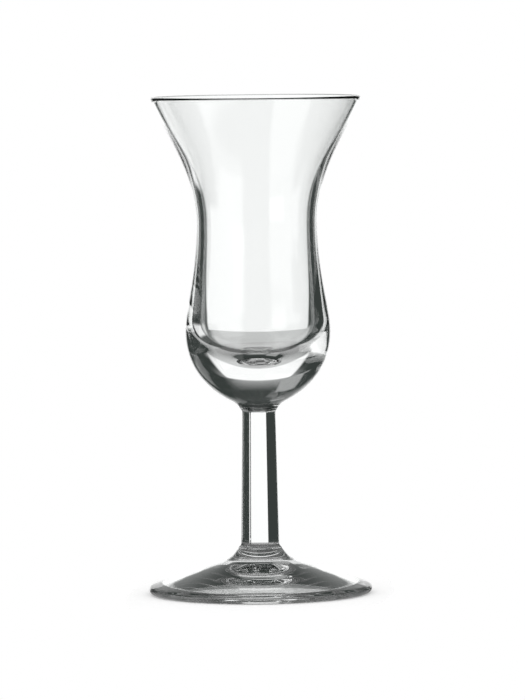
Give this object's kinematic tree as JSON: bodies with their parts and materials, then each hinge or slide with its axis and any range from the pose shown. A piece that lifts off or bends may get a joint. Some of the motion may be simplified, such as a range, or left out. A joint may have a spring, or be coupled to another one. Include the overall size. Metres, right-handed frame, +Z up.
{
  "type": "cordial glass",
  "caption": "Clear cordial glass with a flared bowl over a thick solid base, a six-sided cut stem and a round foot.",
  "frame": {"origin": "centre of the foot's resting ring, on the surface that the glass stands on", "axes": "+Z up along the axis of the glass, towards the lip; one flat of the stem faces -Y"},
  "size_m": [0.0554, 0.0554, 0.124],
  "materials": {
    "bowl_glass": "clear, fire-polished",
    "stem_glass": "clear, cut flats polished",
    "foot_glass": "clear, fire-polished"
  },
  "bodies": {
    "root": {"bowl": "bowl_glass", "stem": "stem_glass", "foot": "foot_glass"}
  },
  "joints": []
}
